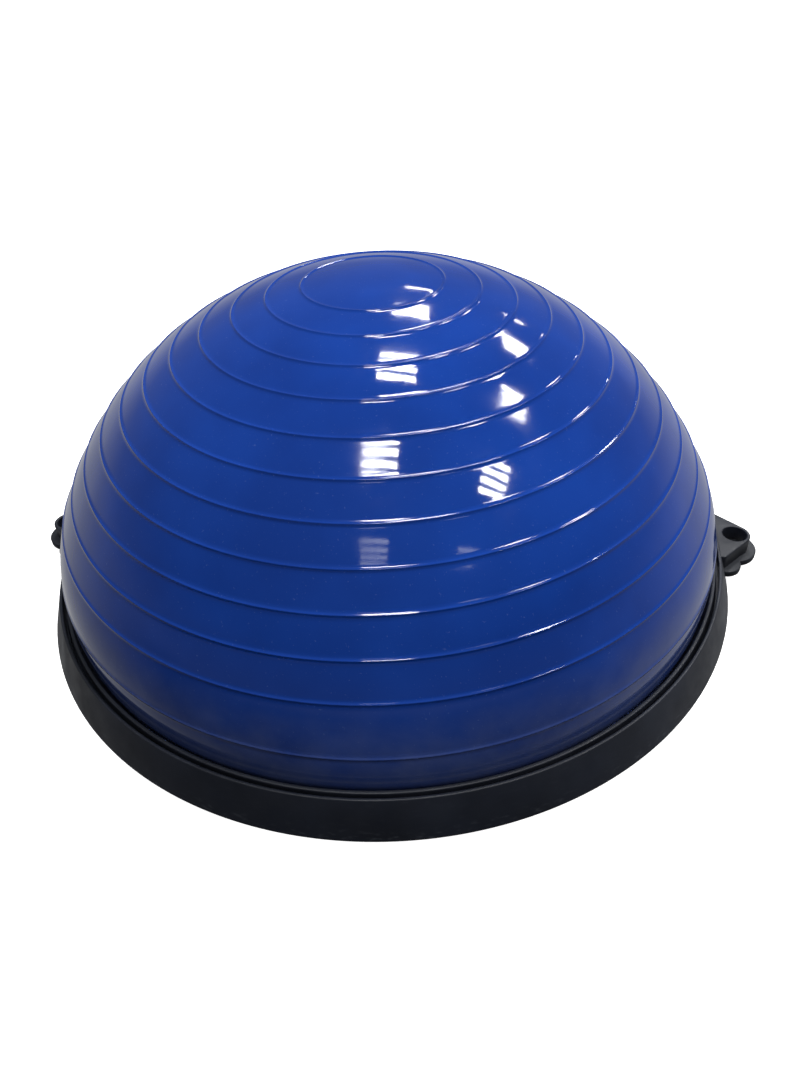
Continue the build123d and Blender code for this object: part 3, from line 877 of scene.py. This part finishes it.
# %% Set in a circle
circle_rule, given = rule(
    "set in a circle", **{"Count": "Int", "Radius": "Float", "Start": "Float", "Item": "Object"}
)
circle = put(circle_rule, "GeometryNodeMeshCircle", {0: given["Count"], 1: given["Radius"]})
spot = put(circle_rule, "GeometryNodeInputPosition")
east = put(circle_rule, "ShaderNodeSeparateXYZ", {0: spot}, out="X")
north = put(circle_rule, "ShaderNodeSeparateXYZ", {0: spot}, out="Y")
facing = put(circle_rule, "ShaderNodeMath", {0: north, 1: east}, operation="ARCTAN2")
turn = put(circle_rule, "ShaderNodeCombineXYZ", {"Z": facing})
item = put(circle_rule, "GeometryNodeObjectInfo", {0: given["Item"]}, out="Geometry")
placed = put(circle_rule, "GeometryNodeInstanceOnPoints", {0: circle, 2: item, 5: turn})
begin = put(circle_rule, "ShaderNodeCombineXYZ", {"Z": given["Start"]})
turned_round = put(circle_rule, "GeometryNodeTransform", {0: placed, "Rotation": begin})
finish_rule(circle_rule, turned_round, tray_plastic)
paint = next(n for n in circle_rule.nodes if n.bl_idname == "GeometryNodeSetMaterial")


def set_in_circle(name, item, count, radius, start=0.0):
    """Copies of an item at even steps round the axis, facing out. The item is used up."""
    finish = item.data.materials[0]
    paint.inputs["Material"].default_value = finish
    values = {"Count": count, "Radius": mm(radius), "Start": radians(start), "Item": item}
    piece = grow(name, circle_rule, finish, **values)
    bpy.data.objects.remove(item)
    return piece


print("circle tree", len(circle_rule.nodes), "nodes")

# %% Tray floor with its fence and ring ribs
hub_radius = 45.0
outer_rib = bead_inner + 2.4
rib_rings = [hub_radius + i * (outer_rib - hub_radius) / 3 for i in range(4)]
fence = bead_inner - fit_gap
valve_hole = 7.95
corners = [
    (valve_hole, floor_top, 0),
    (fence - 2.5, floor_top, 0.4),
    (fence - 2.5, floor_top + 6, 0.6),
    (fence, floor_top + 6, 0.6),
    (fence, floor_top, 0),
    (tray_radius, floor_top, 0.5),
    (tray_radius, floor_underside, 0.5),
]
for rib in reversed(rib_rings):
    corners += [
        (rib + 1.5, floor_underside, 0.6),
        (rib + 1.5, rib_underside, 0.5),
        (rib - 1.5, rib_underside, 0.5),
        (rib - 1.5, floor_underside, 0.6),
    ]
corners.append((valve_hole, floor_underside, 0))
tray_floor = turned("tray floor", eased(corners), tray_plastic)

# %% Spokes and foot sockets
spoke_half = (outer_rib - hub_radius) / 2
spoke_edge = [Vector((x, y)) for x, y in
              ((-spoke_half, -1.5), (spoke_half, -1.5), (spoke_half, 1.5), (-spoke_half, 1.5))]
spoke = slab("spoke", tray_plastic, [spoke_edge], rib_underside, floor_underside + 0.6, 0.4)
spokes = set_in_circle("spokes", spoke, 24, hub_radius + spoke_half)
foot_total = 8
foot_circle = outer_rib - 31.0
socket_outline = eased(
    [
        (16.2, floor_underside + 0.3, 0),
        (16.2, rib_underside, 0.5),
        (13.2, rib_underside, 0.2),
        (13.2, 4.0, 0.1),
        (4.55, 4.0, 0.1),
        (4.55, floor_underside + 0.3, 0),
    ]
)
socket = turned("socket", socket_outline, tray_plastic, steps=64)
sockets = set_in_circle("sockets", socket, foot_total, foot_circle, 180 / foot_total)

# %% Lower plates of the strap eyes
ear_half_turn = 6.83
plate_circles = [(eye_distance, 0.0, 20.5)]
plate_circles += [(eye_distance - 10, side, 13.0) for side in (22.0, -22.0)]
plate_edge = far_edge(plate_circles, tray_radius - 2.0, ear_half_turn)
plates = slab(
    "plates", tray_plastic, [plate_edge, eye_hole], plate_bottom, plate_top, edge_round
)
pad_circles = [(0.0, 0.0, band_radius(plate_bottom) - 0.4)]
pad_edge = far_edge(pad_circles, tray_radius - 7.0, ear_half_turn)
screw_x = eye_distance - 9.5
screw_sides = (16.0, -16.0)
head_bore = 4.15
tool_edges = [ring_of(screw_x, side, head_bore) for side in screw_sides]
tool_edges.insert(1, ring_of(eye_distance, 0, eye_hole_radius + 2.0, 96))
bores = joined(
    "bores", *[slab("bore", tray_plastic, [edge], 0, plate_bottom, 0.05) for edge in tool_edges]
)
pads = carve(slab("pads", tray_plastic, [pad_edge], band_foot, plate_bottom + 0.6, 0.5), bores)
ears = both_sides(joined("ears", plates, pads))
platform = joined("platform_tray", tray_floor, spokes, sockets, ears)
settle(platform, "platform", "tray_plastic", "base_tray")

# %% [markdown]
# ## Feet and screws
# Each rubber foot is a disc with three shallow rings in its sole for grip, and a stem that
# is pressed in its socket. Each screw is a pan head with a cross recess. They are turned
# shapes too, set in circles by the same tree.

# %% Rubber feet
sole = [(0, 0.9, 0)]
for ring in (3.0, 6.5, 10.0):
    sole += [(ring - 0.9, 0.9, 0.3), (ring - 0.5, 0.0, 0.3), (ring + 1.3, 0.0, 0.3),
             (ring + 1.7, 0.9, 0.3)]
sole += [(12.2, 0.9, 0.3), (13.0, 1.8, 0.5), (13.0, 4.0, 0.4), (4.5, 4.0, 0.0),
         (4.5, 8.7, 0.5), (0, 8.7, 0)]
foot = turned("foot", eased(sole, 3), rubber, steps=64)
feet = set_in_circle("rubber_feet", foot, foot_total, foot_circle, 180 / foot_total)
settle(feet, "platform", "foot_rubber", *[f"foot_{n + 1}" for n in range(foot_total)])


# %% Screws
def pan_screw(name, seat, tip, head=3.75, shank=2.0, thick=2.4):
    """A pan-head screw, head down, its seat and tip at given heights."""
    outline = eased(
        [
            (0, seat - thick, 0),
            (head, seat - thick, 1.4),
            (head, seat, 0.3),
            (shank, seat, 0),
            (shank, tip - 0.5, 0),
            (shank - 0.5, tip, 0),
            (0, tip, 0),
        ]
    )
    blank = turned(name, outline, zinc, steps=32)
    slots = []
    for wide, deep in ((4.2, 1.0), (1.0, 4.2)):
        edge = [Vector((x * wide / 2, y * deep / 2)) for x, y in
                ((-1, -1), (1, -1), (1, 1), (-1, 1))]
        slots.append(slab("slot", zinc, [edge], seat - 3.4, seat - 1.1, 0.05))
    for slot in slots:
        blank = carve(blank, slot)
    return blank


ring_screws = 16
for name, node, radius, start in (
    ("clamp_ring_screws", "clamp_screws", clamp_screw_circle, 0.0),
    ("outer_band_screws", "rim_screws", rim_screw_circle, 180 / ring_screws),
):
    short = pan_screw("screw", floor_underside, floor_top + 5.5)
    fixings = set_in_circle(name, short, ring_screws, radius, start)
    settle(fixings, "platform", "zinc_steel", node)
pairs = []
for side in screw_sides:
    long = pan_screw("screw", plate_bottom, lug_top - 5.0)
    long.data.transform(Matrix.Translation((mm(screw_x), mm(side), 0)))
    pairs.append(both_sides(long))
ear_fixings = joined("strap_eye_screws", *pairs)
settle(ear_fixings, "platform", "zinc_steel", "ear_screws")

# %% [markdown]
# ## The valve
# The air plug sits in a flanged seat under the platform. It is a turned stem with a groove
# for its sealing ring, and a flat tab to pull it by. It rides on its own body, so it can be
# drawn out. The seat, washer, nut and seals keep their CAD shapes and get a finish.

# %% Air plug and the small parts
plug_outline = eased(
    [
        (0, 4.5, 0),
        (11.0, 4.5, 0.7),
        (11.0, 6.7, 0.5),
        (4.9, 6.7, 0),
        (4.9, 12.4, 0),
        (3.35, 12.4, 0),
        (3.35, 14.2, 0),
        (4.9, 14.2, 0),
        (4.9, 18.0, 0.3),
        (3.3, 21.0, 0.3),
        (0, 21.0, 0),
    ]
)
stem = turned("stem", plug_outline, milky, steps=96)
tab_ends = slide((-7.1, 0.0, 1.7), (7.1, 0.0, 1.7), 1)
tab_edge = [
    Vector((x + radius * cos(t), radius * sin(t)))
    for (x, _, radius), first in zip(tab_ends, (90, -90))
    for t in [radians(first + 180 * i / 16) for i in range(17)]
]
tab = slab("tab", milky, [tab_edge], 2.3, 4.9, 0.5)
plug = joined("air_plug", stem, tab)
settle(plug, "plug", "valve_plastic", "valve_plug")
small_parts = {
    "valve_seat": milky,
    "valve_washer": rubber,
    "valve_nut": milky,
    "bead_seal": rubber,
    "plug_seal": rubber,
}
for name, finish in small_parts.items():
    node = frame["nodes"][name]
    node.data.materials.clear()
    node.data.materials.append(finish)
print("kept", ", ".join(small_parts))

# %% [markdown]
# ## Floor, light and camera
# A plain pale floor with a round pale backdrop far behind it, and the light of a workroom:
# two rows of square ceiling fixtures, most with four tubes. Their reflections down the dome
# tell the eye that it is glossy. The sky colour gives the walls and ceiling. Floor and
# backdrop are left out of reflections, so that the low part of the dome and the dark band
# stay deep.

# %% Floor
floor_finish, tree, shader = finish_named("painted_floor", Roughness=0.9)
place = put(tree, "ShaderNodeTexCoord", out="Object")
film = put(tree, "ShaderNodeTexNoise", {"Vector": place, "Scale": patches(400), "Detail": 4.0})
mottled = put(
    tree,
    "ShaderNodeMix",
    {0: film, 6: shade("#f4f4f3"), 7: shade("#fbfbfa")},
    out=2,
    data_type="RGBA",
)
tree.links.new(mottled, shader.inputs["Base Color"])
shader.inputs["Emission Color"].default_value = shade("#ffffff")
shader.inputs["Emission Strength"].default_value = 1.0
floor_half = 30.0  # metres
shape = bmesh.new()
bmesh.ops.create_grid(shape, x_segments=2, y_segments=2, size=floor_half)
mesh = bpy.data.meshes.new("floor")
shape.to_mesh(mesh)
shape.free()
floor = show("floor", mesh, floor_finish)
floor.visible_glossy = False
floor.visible_diffuse = False

# %% Backdrop
wall_radius = floor_half - 1.0
shape = bmesh.new()
bmesh.ops.create_cone(
    shape, cap_ends=False, segments=96, radius1=wall_radius, radius2=wall_radius, depth=60.0
)
mesh = bpy.data.meshes.new("backdrop")
shape.to_mesh(mesh)
shape.free()
backdrop = show("backdrop", mesh, floor_finish)
backdrop.visible_glossy = False
backdrop.visible_diffuse = False
backdrop.visible_shadow = False
print("floor", len(floor.data.polygons), "faces, backdrop", len(backdrop.data.polygons))

# %% Walls and ceiling as a sky
world = bpy.data.worlds.new("room")
bpy.context.scene.world = world
world.use_nodes = True
tree = world.node_tree
direction = put(tree, "ShaderNodeTexCoord", out="Generated")
up = put(tree, "ShaderNodeSeparateXYZ", {0: direction}, out="Z")
away = put(tree, "ShaderNodeSeparateXYZ", {0: direction}, out="Y")
level = put(tree, "ShaderNodeMapRange", {0: up, 1: -1.0, 2: 1.0})
far_side = put(tree, "ShaderNodeMapRange", {0: away, 1: -0.45, 2: 0.5})
skies = []
for tones in (
    ((0.0, 0.02), (0.44, 0.03), (0.50, 0.15), (0.56, 0.12), (0.66, 0.08), (1.0, 0.16)),
    ((0.0, 0.52), (0.44, 0.48), (0.50, 0.36), (0.56, 0.20), (0.66, 0.16), (1.0, 0.16)),
):
    node = put(tree, "ShaderNodeValToRGB", {0: level}).node
    ramp = node.color_ramp
    while len(ramp.elements) < len(tones):
        ramp.elements.new(0.5)
    for element, (where, tone) in zip(ramp.elements, tones):
        element.position = where
        element.color = (tone, tone * 1.01, tone * 1.03, 1.0)
    skies.append(node.outputs[0])
sky = put(
    tree, "ShaderNodeMix", {0: far_side, 6: skies[0], 7: skies[1]}, out=2, data_type="RGBA"
)
tree.links.new(sky, tree.nodes["Background"].inputs["Color"])
tree.nodes["Background"].inputs["Strength"].default_value = 1.0

# %% Ceiling fixtures
# Each fixture is its place in metres, its share of full power and its number of tubes.
ceiling = 2.6
tube_spacing = 0.15
full_power = 6.8
fixtures = [
    (0.03, -0.62, 1.0, 4), (0.12, 0.86, 1.0, 4), (0.16, 2.5, 1.0, 4), (0.20, 4.2, 0.7, 1),
    (1.76, -0.62, 1.0, 4), (1.80, 0.86, 1.0, 4), (1.83, 2.5, 1.0, 4), (1.95, 4.2, 0.7, 1),
    (0.02, -2.25, 0.08, 4), (1.75, -2.25, 0.08, 4),
]
for x, y, power, tubes in fixtures:
    for tube in range(tubes):
        lamp = bpy.data.lights.new("tube", "AREA")
        lamp.shape = "RECTANGLE"
        lamp.size = 0.47
        lamp.size_y = 0.085
        lamp.energy = full_power * power
        fitting = bpy.data.objects.new("tube", lamp)
        fitting.location = (x, y + tube_spacing * (tube - (tubes - 1) / 2), ceiling)
        bpy.context.collection.objects.link(fitting)
print("tubes", sum(f[3] for f in fixtures))

# %% Camera
camera = bpy.data.objects.new("camera", bpy.data.cameras.new("camera"))
camera.data.lens = 26.51
camera.location = (0.0784, -0.5677, 0.4725)
camera.rotation_euler = [radians(a) for a in (50.773, 2.431, 4.945)]
bpy.context.collection.objects.link(camera)
bpy.context.scene.camera = camera
bpy.context.scene.view_settings.view_transform = "Standard"
